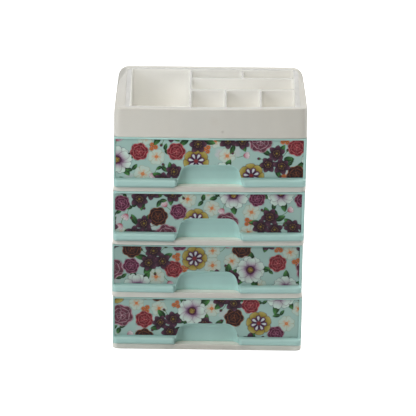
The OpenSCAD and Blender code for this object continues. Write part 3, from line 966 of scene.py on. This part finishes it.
def drawer_painted_light(k):
    def tone(p, n):
        """Painted light on a drawer: the foot of the recess's back wall is made lighter, a painted highlight runs along
        the left part of the top border of drawers 1 and 2, and painted shade darkens the lips' undersides.
        """
        x, y, z = np.abs(p[:, 0]), p[:, 1] - FRONT_Y, p[:, 2] - 3 * TIER
        # painted light: the foot of the recess's back wall is made lighter
        inside = smooth((33.5 - x) / 3) * (y > 1.2) * (y < 13) * smooth((20.5 - z) / 3) * smooth((0.3 - n[:, 1]) / 0.6)
        # painted highlight: the left part of the top border of drawers 1 and 2 is made lighter
        top = (k < 3) * 0.14 * smooth((z - 50.4) / 0.8) * smooth((2 - y) / 1.5) * smooth(0.5 - p[:, 0] / 40)
        # painted shade: the lips' undersides are made darker
        under = np.where(p[:, 0] < 0, *LIP_UNDERSIDE_SHADE[k]) * smooth((-n[:, 2] - 0.2) / 0.5) * smooth((-0.5 - y) / 0.7) * (z < 12)
        return POCKET_LIGHT[k] * inside * (0.2 + 0.8 * smooth((13 - z) / 8)) + top - under
    return tone


TOP_DUST_AND_SHADE = 0.35
SHELF_LIGHT = {1: 0.38, 2: 0.36, 3: 0.37, 4: 0.34}
STRIP_LIGHT_SHADE = {1: 0.16, 2: 0.13, 3: 0.18, 4: 0.26}
POCKET_LIGHT = {1: 0.50, 2: 0.36, 3: 0.35, 4: 0.20}
LIP_SHADOW = {1: (0.33, 0.20), 2: (0.38, 0.28), 3: (0.06, 0.20), 4: (0.0, 0.0)}
LIFT = {1: 0.30, 2: 0.35, 3: 0.13, 4: 0.13}
LIP_UNDERSIDE_SHADE = {1: (0.30, 0.08), 2: (0.36, 0.20), 3: (0.0, 0.08), 4: (0.0, 0.0)}
put("housing_moulding", moulded("top_housing", 0.42, FINE), white, "tower", "top_housing", "housing",
    shape=shouldered, tone=housing_painted_light)
put("tray_moulding", moulded("compartment_tray", 0.3, FINE), ivory, "tower", "compartment_tray",
    "housing", shape=snug, tone=tray_dust_and_painted_light)
form = moulded("tier_frame_1", 0.26, FINE)
for i in (1, 2, 3):
    put(f"tier_moulding_{i}", form, white, "tower", f"tier_frame_{i}", f"tier_{i}", TIER * (i - 1),
        tone=frame_painted_light(i))
put("base_moulding_4", moulded("base_frame_4", 0.26, FINE), white, "tower", "base_frame_4", "tier_4",
    tone=frame_painted_light(4))
form = moulded("drawer_1", 0.34, FINE)
for i in (1, 2, 3, 4):
    put(f"drawer_moulding_{i}", form, mint, f"drawer_body_{i}", f"drawer_{i}", f"tier_{i}", TIER * (i - 1),
        shape=fitted(i), tone=drawer_painted_light(i))
for i in (1, 2, 3, 4):
    me = settled_label(i)
    me.materials.append(film)
    place(f"label_print_{i}", me, f"drawer_body_{i}", [f"drawer_label_{i}"])


# ------------------------------------------------------------ floor, light --

def sheet_of_paper(name, colour, glow, z):
    me = bpy.data.meshes.new(name)
    s = 30.0
    me.from_pydata([(-s, -s, 0), (s, -s, 0), (s, s, 0), (-s, s, 0)], [], [(0, 1, 2, 3)])
    m = bpy.data.materials.new(name)
    m.use_nodes = True
    b = m.node_tree.nodes["Principled BSDF"]
    b.inputs["Base Color"].default_value = colour
    b.inputs["Roughness"].default_value = 0.9
    b.inputs["Specular IOR Level"].default_value = 0.0
    b.inputs["Emission Color"].default_value = (1, 1, 1, 1)
    b.inputs["Emission Strength"].default_value = glow
    me.materials.append(m)
    o = bpy.data.objects.new(name, me)
    o.location = (0, 0, z)
    bpy.context.scene.collection.objects.link(o)
    return o


def make_floor():
    """White paper: one sheet is what is seen, evenly bright; the one under it only throws light back up."""
    seen = sheet_of_paper("floor", (0.9, 0.9, 0.9, 1), 1.0, -0.0004)
    seen.visible_diffuse = False
    seen.visible_glossy = False
    seen.visible_shadow = False
    under = sheet_of_paper("floor_bounce", (FLOOR_ALBEDO, FLOOR_ALBEDO, FLOOR_ALBEDO, 1), 0.0, -0.0010)
    under.visible_camera = False


def area(name, at, size, power, colour=(1, 1, 1)):
    d = bpy.data.lights.new(name, "AREA")
    d.shape = "RECTANGLE"
    d.size, d.size_y = size
    d.energy = power
    d.color = colour
    o = bpy.data.objects.new(name, d)
    o.location = at
    o.rotation_euler = (Vector((0, 0, 0.13)) - Vector(at)).to_track_quat("-Z", "Y").to_euler()
    o.visible_camera = False
    bpy.context.scene.collection.objects.link(o)


FLOOR_ALBEDO = 0.9
make_floor()
area("key", (-0.55, -0.6, 0.75), (0.5, 0.5), 0.33)
area("left_high", (-0.5, -0.5, 1.3), (0.6, 0.6), 0.73)
area("left_window", (-0.9, -0.35, 0.95), (0.35, 0.35), 2.27, (1.0, 1.0, 1.06))
area("left_low", (-1.1, -1.0, 0.4), (0.6, 0.6), 4.90, (0.965, 1.0, 1.013))
area("front_high", (0.0, -0.7, 1.3), (0.7, 0.7), 5.91, (1.04, 1.0, 0.935))
area("front_left", (-1.3, -1.6, 0.8), (0.9, 0.7), 4.90, (0.98, 1.0, 1.03))
area("behind", (0.0, 1.2, 1.0), (0.9, 0.7), 4.51)
area("behind_left", (-1.4, 0.7, 0.5), (0.7, 0.7), 4.77)
area("behind_right", (1.4, 0.7, 0.5), (0.7, 0.7), 2.48)
area("right_side", (1.2, 0.3, 1.0), (0.7, 0.7), 13.42, (0.973, 1.0, 1.022))

world = bpy.data.worlds.new("world")
world.use_nodes = True
nt = world.node_tree
back = nt.nodes["Background"]
back.inputs["Color"].default_value = (1, 1, 1, 1)
seen = nt.nodes.new("ShaderNodeLightPath")
fill = nt.nodes.new("ShaderNodeMapRange")
fill.inputs["To Min"].default_value = 0.03
fill.inputs["To Max"].default_value = 1.0
nt.links.new(seen.outputs["Is Camera Ray"], fill.inputs["Value"])
nt.links.new(fill.outputs[0], back.inputs["Strength"])
sc = bpy.context.scene
sc.world = world
sc.view_settings.view_transform = "Standard"
sc.view_settings.look = "None"
